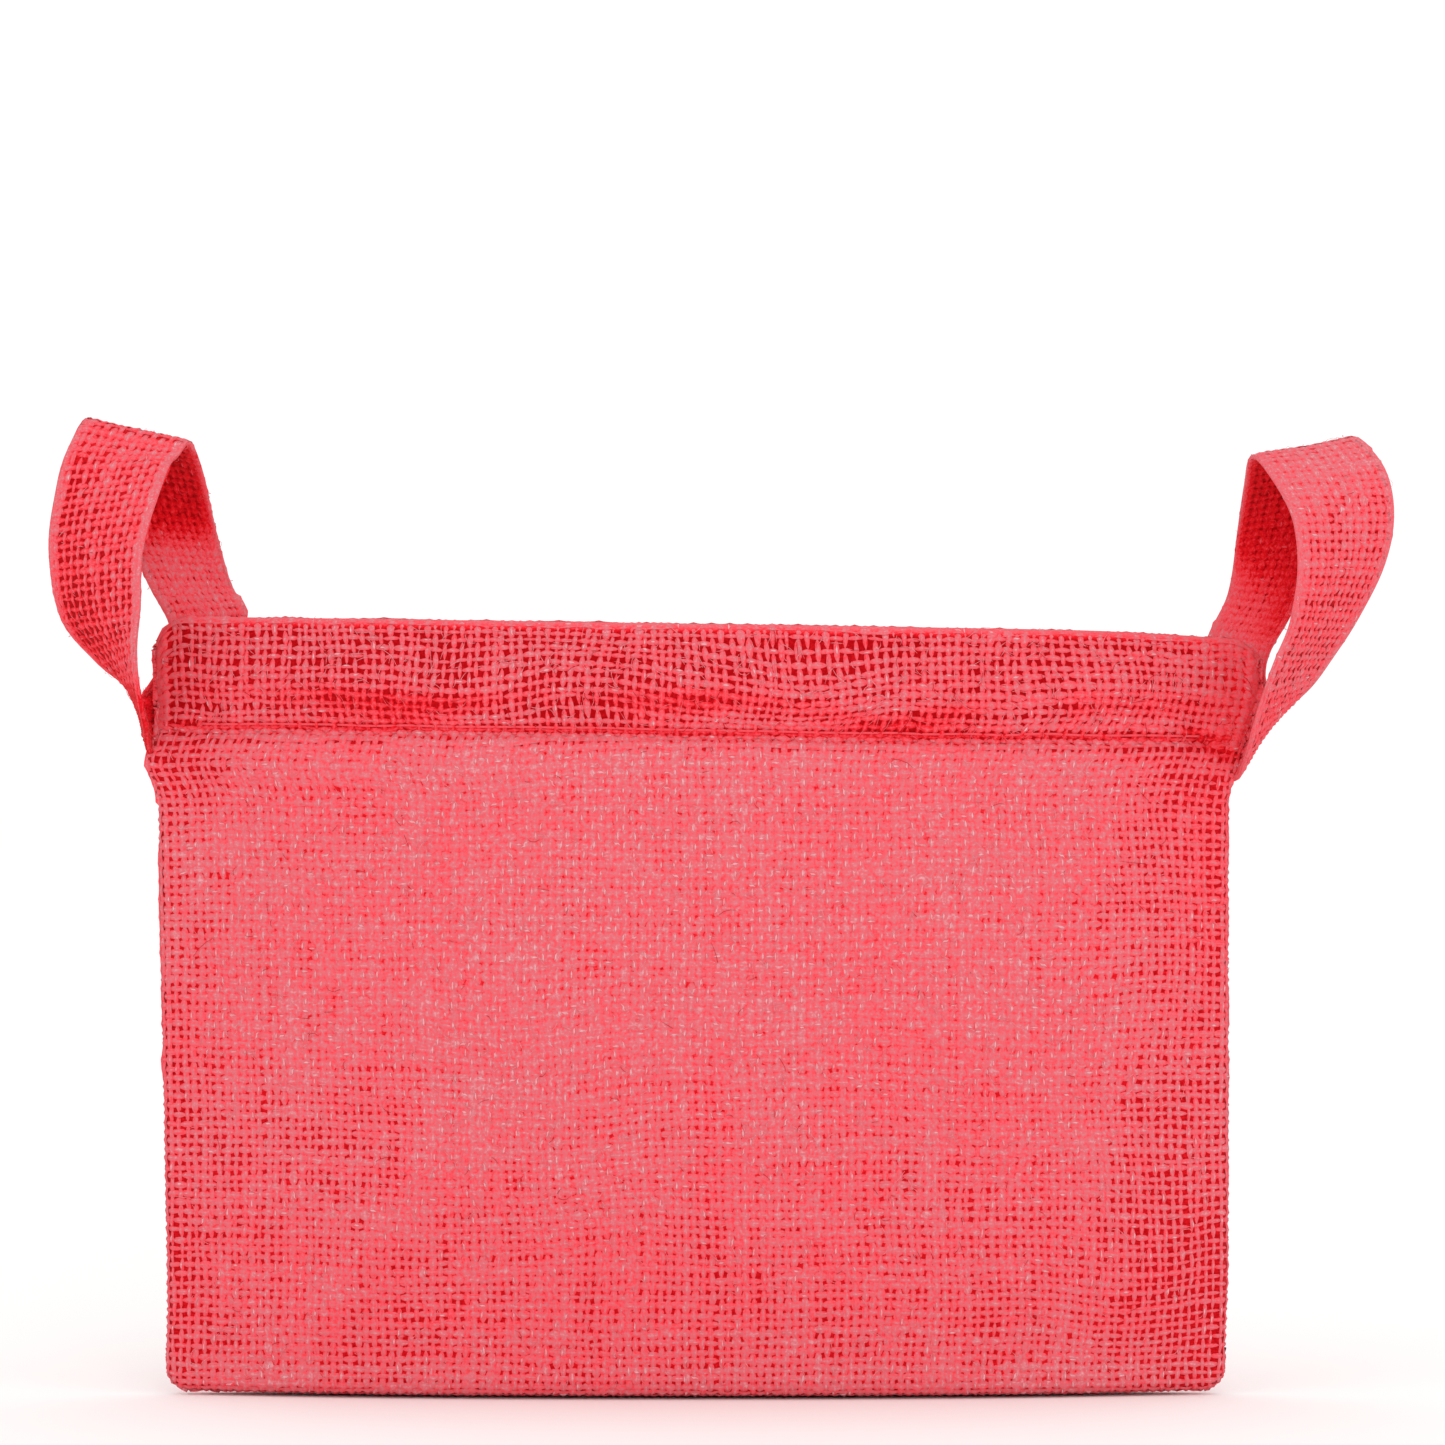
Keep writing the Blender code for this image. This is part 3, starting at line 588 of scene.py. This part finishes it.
def inside_band(a, b):
    """The band's cloth, which is cut away inside the bag beside the sewn ends of the straps."""
    beside_tail = (b > BAND_OUTER + BAND_FOLD + 0.010) & (np.abs(a) > CLOTH_REACH - 0.024)
    return (np.abs(a) < CLOTH_REACH + 0.0005) & ~beside_tail


def fold_rub_and_highlight(a, b):
    """How far the band's cloth is drawn close and paler, partly rubbed and partly a painted highlight: along
    its fold and at its ends.
    """
    fold = smooth(b, BAND_OUTER - 0.002, BAND_OUTER + 0.002)
    fold = fold * (1 - smooth(b, BAND_OUTER + BAND_FOLD, BAND_OUTER + 0.02))
    return np.maximum(fold, 0.7 * smooth(np.abs(a), CLOTH_REACH - 0.010, CLOTH_REACH - 0.003))


def overhang(points, normals):
    """How far the band's cloth turns under and into its own shade."""
    return np.clip(-normals[..., 2] - 0.05, 0, 0.45) + 0.2 * tuck(points[..., 0], points[..., 2])


def band_look(points, normals, a, b, upright):
    """An open weave, drawn close along the fold, at the ends and under the stitches, and paler along the
    fold and at the ends, partly from rubbing and partly as a painted highlight. Painted shade darkens it
    where it turns under, at its ends and by the right strap.
    """
    rubbed_and_highlit, shadow = fold_rub_and_highlight(a, b), overhang(points, normals)
    x, z = points[..., 0], points[..., 2]
    sewn = 1 - smooth(b, 0.0, BAND_SEWN)
    end = smooth(np.abs(a), CLOTH_REACH - 0.012, CLOTH_REACH - 0.004)
    right_end = smooth(x, *RIGHT_PULL)
    fill = (0.58 if upright else 0.50) + 0.10 * smooth(x, -0.10, 0.14)
    fill = fill + 0.06 * np.clip(patchy(9, 0.02, x, z), -1, 1)
    fill = fill + (0.72 - fill) * sewn + 0.20 * right_end
    fill = fill + ((1.12 if upright else 0.88) - fill) * rubbed_and_highlit
    shadow = shadow * (1 - rubbed_and_highlit) * (1 - 0.6 * sewn)
    # Painted shade: crowns and edges darken where the cloth turns under, and a little at the ends, where the
    # straps stand in front.
    crown = 0.70 - 0.06 * end - 0.04 * right_end - 0.65 * shadow
    edge = 0.62 + 0.05 * rubbed_and_highlit - 0.02 * end + 0.01 * right_end - 0.85 * shadow
    glint_chance, pressed = 0.10 * np.clip(1 - 5 * shadow, 0, 1), 0.75 * rubbed_and_highlit
    return fill, crown, edge, glint_chance, pressed


# Painted shade: the sheet in the band's gaps is nearly black-red, a little lighter under the stitches and by
# the right strap; along the fold and at the ends it turns pale and lifts, partly as a painted highlight.
def band_gap_shade(points, normals, a, b):
    sewn = 1 - smooth(b, 0.0, BAND_SEWN)
    x, z = points[..., 0], points[..., 2]
    shade = 0.02 + 0.06 * patchy(9, 0.02, x, z) + 0.06 * sewn + 0.25 * smooth(x, *RIGHT_PULL)
    rubbed_and_highlit = fold_rub_and_highlight(a, b)
    return shade + (0.62 - shade) * rubbed_and_highlit, 0.00035 * rubbed_and_highlit


for facing, word in ((FRONT, "front"), (BACK, "back")):
    rng = np.random.default_rng(31 + facing)
    warp_places = np.linspace(-CLOTH_REACH, CLOTH_REACH, 2 * round(CLOTH_REACH / BAND_WARP_PITCH) + 1)
    sewn = np.array([0.0, 0.0025])
    length = BAND_OUTER + BAND_FOLD + BAND_INNER
    closing = np.cumsum(np.linspace(0.0031, BAND_WEFT_PITCH, 7)) + sewn[-1]
    even = np.arange(closing[-1] + BAND_WEFT_PITCH, length, BAND_WEFT_PITCH)
    weft_places = np.concatenate([sewn, closing, even])
    surface = band_surface(facing)
    upright, level, crown_glints = weave(surface, -facing, warp_places, weft_places, inside_band, band_look,
                                   crimp=0.00055, dive_shadow=0.16, rng=rng)
    warp = lay_yarns(f"{word}_band_warp", upright, hessian, "bag")
    weft = lay_yarns(f"{word}_band_weft", level, hessian, "bag")
    lumps_and_gap_shade = lay_gap_shade_sheet(f"{word}_band_gap_shade", surface, -facing, warp_places, halves(halves(weft_places)),
                    inside_band, band_gap_shade, hessian, "bag")
    loose = stray_fibres(surface, -facing, low=(-0.225, 0.001), high=(0.225, 0.045), count=800,
                         length=0.0048, stand=0.0008, inside=inside_band, look=band_look, rng=rng)
    fibres = lay_yarns(f"{word}_band_fibres", crown_glints + loose, hessian, "bag")
    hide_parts(f"{word}_mouth_band")


# The sewing. A twisted polyester thread of the same red runs along the foot of each band, over and under
# the cloth, with its fellow on the inside, and laces the two panels together inside the side and bottom
# seams. It is smoother and more even in shade than the jute.

STITCH = 0.0085
STITCHED_REACH = 0.212      # from the bag's middle to the last stitch, along the cloth
THREAD_HALF = 0.00045
THREAD_SHADE = 0.55
LACING_STEP = 0.0015
LACING_SWAY = 0.0019        # to the front and the back of the seam
LACING_SPAN = 0.006         # along the seam from one side to the other
LACING_INSET = 0.0030       # from the side edge
polyester = dyed_fibre("twisted_polyester_thread", grain=0.0006, lumps_and_gap_shade=0.2, dye=0.05, streak=0.1)


def thread(points, normals):
    """A sewing thread along points, as one round yarn."""
    half = np.full(len(points), THREAD_HALF)
    return points, normals, half, half, THREAD_SHADE


def band_stitches(facing, depth, height, dip):
    """A row of stitches: each lies on the cloth and dips into it at its ends."""
    a = np.arange(-STITCHED_REACH, STITCHED_REACH, STITCH / 6)
    x = skin(BACK, a, np.full_like(a, 0.30), 0.0)[..., 0]
    z = band_foot(x) + height
    phase = np.abs(np.sin(math.pi * a / STITCH))
    lift = depth + dip * (np.minimum(phase, 0.6) / 0.6 - 1)
    outward = skin(facing, a, z, 0.002) - skin(facing, a, z, 0.0)
    return thread(skin(facing, a, z, lift), unit(outward))


for facing, word in ((FRONT, "front"), (BACK, "back")):
    outside = band_stitches(facing, depth=0.0005, height=0.0032, dip=0.0022)
    inside = band_stitches(facing, depth=-0.0078, height=0.0075, dip=-0.0020)
    needle = lay_yarns(f"{word}_band_stitches", [outside], polyester, "bag")
    bobbin = lay_yarns(f"{word}_band_inner_stitches", [inside], polyester, "bag")
    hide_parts(f"{word}_band_needle_thread")
    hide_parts(f"{word}_band_bobbin_thread")

for side, word in ((-1, "left"), (1, "right")):
    z = np.arange(0.0055, 0.240, LACING_STEP)
    sway = LACING_SWAY * np.sin(math.pi * z / LACING_SPAN)
    line = np.stack([side_edge(side, z) - side * LACING_INSET, sway, z], axis=-1)
    outward = np.broadcast_to([side, 0, 0], line.shape)
    lacing = lay_yarns(f"{word}_seam_lacing", [thread(line, outward)], polyester, "bag")
    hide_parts(f"{word}_seam_thread")

x = np.arange(-0.186, 0.186, LACING_STEP)
line = np.stack([x, LACING_SWAY * np.sin(math.pi * x / LACING_SPAN), np.full_like(x, 0.0036)], axis=-1)
upward = np.broadcast_to([0, 0, 1], line.shape)
lacing = lay_yarns("bottom_seam_lacing", [thread(line, upward)], polyester, "bag")
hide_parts("bottom_seam_thread")


# The strap loops. Each is a strip of hessian folded to a flat strap of two layers, bent into a loop whose
# ends are caught together in the side seam. The rungs give the strap's outer and inner edge, in
# millimetres, from the seam up the front limb, over the top and down behind the band.

HAIRPIN = 0.0016            # radius in which the strap turns back inside the seam
STRAP_WIDTH = 0.0475
STRAP_HALF = 0.0008         # middle of each layer from the middle of the strap
STRAP_WARPS = 26            # yarns round the strap's two layers
STRAP_GAP_SHEET_STEPS = 130      # of the painted-shade sheet round the strap, fine enough for its round edges
ROOTS = {                   # X and height of the lower and the upper end of the strap's line in the seam
    "left": ((-0.23002, 0.2700), (-0.230447, 0.2915)),
    "right": ((0.2284, 0.2590), (0.240686, 0.2915)),
}
LEFT_RUNGS = (
    ((-233.0, -2.1, 291.6), (-230.8, -6, 271.8)),
    ((-234.6, -3.2, 291.8), (-230.6, -17, 276.0)),
    ((-236.2, -3.6, 293.0), (-230.2, -30, 281.5)),
    ((-239.0, -3.0, 296.8), (-231.6, -38.5, 291)),
    ((-243.4, -1, 301), (-233.0, -43, 302)),
    ((-253.2, 0, 309), (-233.4, -43, 315)),
    ((-267.0, -4, 326), (-232.6, -41, 330)),
    ((-271.6, -11, 354), (-230.4, -38, 358)),
    ((-267.6, -10, 384), (-222.4, -25, 388)),
    ((-262.6, -3.5, 400), (-217.8, -19, 395)),
    ((-256.6, 5, 410.6), (-213.4, -12, 400.6)),
    ((-249.0, 21, 397), (-210.0, 10, 389)),
    ((-244.0, 24, 368), (-206.2, 34, 366)),
    ((-232.0, 17, 343), (-200.4, 43, 343)),
    ((-221.8, 12, 325), (-193.4, 44, 328)),
    ((-224.6, 8.5, 310), (-204.0, 45, 311)),
    ((-230.0, 6.2, 299.5), (-221.5, 43, 292)),
    ((-233.0, 4.8, 295.0), (-229.6, 33, 280)),
    ((-234.2, 3.4, 292.2), (-231.6, 20, 274)),
    ((-233.0, 2.1, 291.6), (-230.8, 6, 271.8)),
)
RIGHT_RUNGS = (
    ((244.4, -2.1, 291.2), (229.8, -6, 260.6)),
    ((248.8, -2.8, 291.4), (230.6, -18, 265.2)),
    ((253.5, -2.6, 293), (232.4, -31, 274)),
    ((259.5, -2, 298.8), (235.6, -41, 288.5)),
    ((267.6, -2, 309.2), (242.0, -44, 308)),
    ((278.4, -6, 326), (249.4, -45, 326)),
    ((289.0, -12, 348), (252.0, -45, 347)),
    ((293.2, -15, 370), (250.4, -39, 368)),
    ((289.6, -6, 391), (242.0, -25, 386)),
    ((278.4, 9, 403.6), (235.4, -9, 394)),
    ((274.0, 20, 390), (233.8, 10, 383)),
    ((267.0, 25, 364), (232.2, 33, 361)),
    ((255.0, 18, 333), (229.6, 42, 337)),
    ((243.5, 12, 314), (220.0, 43, 317)),
    ((240.8, 7, 303), (223.0, 45, 300)),
    ((243.0, 4.6, 296), (230.0, 37, 278)),
    ((245.4, 3.3, 292.0), (230.6, 20, 265.8)),
    ((244.4, 2.1, 291.2), (229.8, 6, 260.6)),
)


def smooth_through(stations, per_span):
    """Points on a smooth open curve through stations, as a Catmull-Rom spline."""
    padded = np.concatenate([[2 * stations[0] - stations[1]], stations, [2 * stations[-1] - stations[-2]]])
    found = []
    for i in range(1, len(padded) - 2):
        p0, p1, p2, p3 = padded[i - 1:i + 3]
        for t in np.arange(per_span) / per_span:
            found.append(0.5 * (2 * p1 + (p2 - p0) * t + (2 * p0 - 5 * p1 + 4 * p2 - p3) * t ** 2
                                + (3 * p1 - p0 - 3 * p2 + p3) * t ** 3))
    return np.array(found + [stations[-1]])


def strap_surface(word, rungs):
    """A strap as a function of the way round its flat section and the way along it, its length and girth."""
    side = -1 if word == "left" else 1
    (low_x, low_z), (high_x, high_z) = ROOTS[word]
    roots = [np.array([high_x, 0.0, high_z]), np.array([low_x, 0.0, low_z])]
    hairpin = []
    for angle in np.linspace(0, -math.pi / 2, 6):
        shift = HAIRPIN * np.array([-side * math.cos(angle), math.sin(angle), 0.0])
        hairpin.append([root + shift for root in roots])
    start = np.array(hairpin)
    end = start[::-1] * (1, -1, 1)
    free = smooth_through(np.concatenate([start[-1:], np.array(rungs) / 1000, end[:1]]), 16)
    edges = np.concatenate([start[:-1], free, end[1:]])
    spans = np.linalg.norm(np.diff(edges.mean(axis=1), axis=0), axis=1)
    run = np.concatenate([[0], np.cumsum(spans)])
    turn_length = math.pi * STRAP_HALF

    def rung(along):
        """The strap's outer and inner edge at a distance along it."""
        return [np.stack([np.interp(along, run, edges[:, e, k]) for k in range(3)], axis=-1)
                for e in range(2)]

    def surface(around, along):
        place = np.mod(around, 2 * (STRAP_WIDTH + turn_length))
        on_back = place >= STRAP_WIDTH + turn_length
        place = np.where(on_back, place - STRAP_WIDTH - turn_length, place)
        share = np.clip(place / STRAP_WIDTH, 0, 1)
        share = np.where(on_back, 1 - share, share)[..., None]
        turn = np.clip((place - STRAP_WIDTH) / turn_length, 0, 1) * math.pi + np.where(on_back, math.pi, 0)
        outer, inner = rung(along)
        way = unit(inner - outer)
        last, after = rung(along - 0.0012), rung(along + 0.0012)
        travel = (after[0] - last[0]) * (1 - share) + (after[1] - last[1]) * share
        normal = unit(np.cross(travel, way))
        soft = 0.0007 * patchy(10, 0.022, share[..., 0] * STRAP_WIDTH, along + side)[..., None]
        middle = outer + (inner - outer) * share + normal * soft
        return middle + (normal * np.cos(turn)[..., None] + way * np.sin(turn)[..., None]) * STRAP_HALF

    return surface, run[-1], 2 * (STRAP_WIDTH + turn_length)


def everywhere(a, b):
    """All of a strap is cloth."""
    return np.full(np.broadcast(a, b).shape, True)


def strap_wear_and_shade(points, normals, around):
    """How far a strap is rubbed and paler at its edges and over its top, partly a painted highlight; its
    painted shade, darker where it faces down and near the root, more on the left strap, and on the inner
    faces at the loop's top; and how far it faces inwards.
    """
    place = np.mod(around, STRAP_WIDTH + math.pi * STRAP_HALF)
    edge = 1 - smooth(np.minimum(place, np.abs(STRAP_WIDTH - place)), 0.0008, 0.0045)
    edge = np.maximum(edge, place > STRAP_WIDTH)
    x, z = points[..., 0], points[..., 2]
    on_left = x < 0
    # Paler and closed along the edges and over the top: partly rubbing, partly a painted highlight.
    rubbed_and_highlit = np.maximum(smooth(normals[..., 2], 0.15, 0.75) * np.where(on_left, 0.35, 0.65), edge)
    heart = np.stack([np.where(on_left, -0.240, 0.258), 0 * x, 0 * x + 0.350], axis=-1)
    inner = smooth((normals * unit(heart - points)).sum(axis=-1), 0.1, 0.7)
    inner = inner * np.where(on_left, smooth(z, 0.350, 0.374), smooth(z, 0.296, 0.322))
    root = 1 - smooth(z, 0.292, np.where(on_left, 0.306, 0.298))
    # Painted shade: darker where the strap faces down, on the inner faces at the loop's top and near the
    # root, more on the left strap.
    shade = np.maximum(np.where(on_left, 0.24, 0.04) * np.clip(-normals[..., 2], 0, 1), 0.36 * inner)
    return rubbed_and_highlit, np.maximum(shade, np.where(on_left, 0.40, 0.10) * root), inner


def strap_look(points, normals, around, along, upright):
    """A weave that closes behind the band and opens at the left strap's outer edge. Its level yarns, the
    left strap and that outer edge are darker as painted shade, the strap's painted shade darkens all of it,
    and on the back limb the level yarns are lighter as painted light, its upright crowns a little deeper.
    """
    rubbed_and_highlit, shadow, inner = strap_wear_and_shade(points, normals, around)
    x, y = points[..., 0], points[..., 1]
    on_left = x < 0
    behind, outer = np.where(y > 0, 1 - inner, 0), smooth(-x, 0.243, 0.268)
    round_edge = np.mod(around, STRAP_WIDTH + math.pi * STRAP_HALF) > STRAP_WIDTH
    if upright:
        fill = np.where(on_left, 0.70, 0.78) + 0.16 * behind - 0.16 * outer
        crown = 0.70 - 0.05 * behind
        edge = np.where(on_left, 0.60, 0.66) + 0.02 * behind - 0.04 * outer
        rubbed_fill = np.where(round_edge, 0.45, 1.0)
    else:
        fill = np.where(on_left, 0.75, 0.80) + 0.18 * behind - 0.12 * outer
        crown = np.where(on_left, 0.62, 0.67) + 0.03 * behind
        edge = np.where(on_left, 0.50, 0.62) + 0.10 * behind
        rubbed_fill = 1.12
    fill = fill + (rubbed_fill - fill) * rubbed_and_highlit
    crown = crown + (0.70 - crown) * rubbed_and_highlit - shadow
    edge = edge + (0.68 - edge) * rubbed_and_highlit - shadow
    glint_chance, pressed = 0.04 + 0 * shadow, 0.75 * rubbed_and_highlit
    return fill, crown, edge, glint_chance, pressed


def strap_gap_shade_and_rim(points, normals, around, along):
    """Painted shade, deep red between the yarns and darker still with the strap's painted shade; pale along
    the edges and over the top, partly rubbed and partly a painted highlight, and proud of the yarns at the
    edges.
    """
    rubbed_and_highlit, shadow = strap_wear_and_shade(points, normals, around)[:2]
    place = np.mod(around, STRAP_WIDTH + math.pi * STRAP_HALF)
    at_edge = 1 - smooth(np.minimum(place, np.maximum(STRAP_WIDTH - place, 0)), 0.0, 0.0016)
    return 0.03 + 0.60 * rubbed_and_highlit + 0.04 * at_edge - 0.5 * shadow, 0.00036 * at_edge


for word, rungs in (("left", LEFT_RUNGS), ("right", RIGHT_RUNGS)):
    rng = np.random.default_rng(51 + len(rungs))
    surface, length, girth = strap_surface(word, rungs)
    warp_places = np.linspace(0, girth, STRAP_WARPS + 1) + 0.0018
    weft_places = np.linspace(0.0006, length - 0.0006, round(length / WEFT_PITCH))
    gap_sheet_places = np.linspace(0, girth, STRAP_GAP_SHEET_STEPS + 1)
    upright, level, crown_glints = weave(surface, -1, warp_places, weft_places, everywhere, strap_look,
                                   crimp=0.00048, dive_shadow=0.20, rng=rng)
    warp = lay_yarns(f"{word}_strap_warp", upright[:-1], hessian, None)
    weft = lay_yarns(f"{word}_strap_weft", level, hessian, None)
    lumps_and_gap_shade = lay_gap_shade_sheet(f"{word}_strap_gap_shade_and_rim", surface, -1, gap_sheet_places, weft_places, everywhere, strap_gap_shade_and_rim,
                    hessian, None)
    loose = stray_fibres(surface, -1, low=(0, 0.02), high=(girth, length - 0.02), count=220,
                         length=0.0036, stand=0.0001, inside=everywhere, look=strap_look, rng=rng)
    fibres = lay_yarns(f"{word}_strap_fibres", crown_glints + loose, hessian, None)
    for piece in (warp, weft, lumps_and_gap_shade, fibres):
        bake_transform(piece)
    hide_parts(f"{word}_handle_loop")


# The sewn ends of the straps. Each is a short flat end of the same hessian, which lies pressed between the
# two panels behind the side seam, where the seam's thread holds it.

TAIL_LOW = 0.2525           # height of the end's lower edge
TAIL_START = 0.0012         # from the side edge

for side, word in ((-1, "left"), (1, "right")):
    rng = np.random.default_rng(71 + side)

    def tail_surface(a, b):
        z = TAIL_LOW + b
        return np.stack([side_edge(side, z) - side * (TAIL_START + a), 0 * a, z], axis=-1)

    across, along = np.linspace(0.0030, 0.0155, 5), np.linspace(0.0018, 0.0372, 11)
    level, upright = weave(tail_surface, 1, across, along, everywhere, strap_look,
                           crimp=0.0003, dive_shadow=0.1, rng=rng)[:2]
    tail = lay_yarns(f"{word}_strap_end", level + upright, hessian, "bag")
    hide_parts(f"{word}_handle_tail")


# The studio: a wide floor of matt white paper, which gives a plain ground without gloss, in even white
# light from all round, a large soft light from the upper right in front, and a long lens.

paper = bpy.data.materials.new("white_paper")
paper.use_nodes = True
paper_shader = paper.node_tree.nodes["Principled BSDF"]
paper_shader.inputs["Base Color"].default_value = linear("#FAFAF9")
paper_shader.inputs["Roughness"].default_value = 0.95
paper_shader.inputs["Specular IOR Level"].default_value = 0.1
bpy.ops.mesh.primitive_plane_add(size=40, location=(0, 0, -0.0011))
floor = bpy.context.object
floor.name = "studio_floor"
floor.data.materials.append(paper)

world = bpy.data.worlds.new("studio_air")
bpy.context.scene.world = world
world.use_nodes = True
air = world.node_tree.nodes["Background"]
air.inputs["Color"].default_value = (1, 1, 1, 1)
air.inputs["Strength"].default_value = 1.06

KEY_PLACE = np.array([0.35, -2.9, 1.0])
KEY_TARGET = np.array([0, 0, 0.2])
key = bpy.data.lights.new("key_softbox", "AREA")
key.size = 0.9
key.energy = 16
key_softbox = bpy.data.objects.new("key_softbox", key)
key_softbox.location = KEY_PLACE
way = KEY_TARGET - KEY_PLACE
tilt = math.atan2(math.hypot(way[0], way[1]), -way[2])
key_softbox.rotation_euler = (tilt, 0, math.atan2(-way[0], way[1]))
bpy.context.scene.collection.objects.link(key_softbox)

VIEW_WIDTH = 0.611          # of the bag's middle plane in the frame
CAMERA_AWAY = 3.0
SENSOR = 36
lens = bpy.data.cameras.new("studio_camera")
lens.sensor_width = SENSOR
lens.lens = SENSOR * CAMERA_AWAY / VIEW_WIDTH
camera = bpy.data.objects.new("studio_camera", lens)
camera.location = (0.0116, -CAMERA_AWAY, 0.2828)
camera.rotation_euler = (math.pi / 2, 0, 0)
bpy.context.scene.collection.objects.link(camera)
bpy.context.scene.camera = camera
bpy.context.scene.view_settings.view_transform = "Standard"
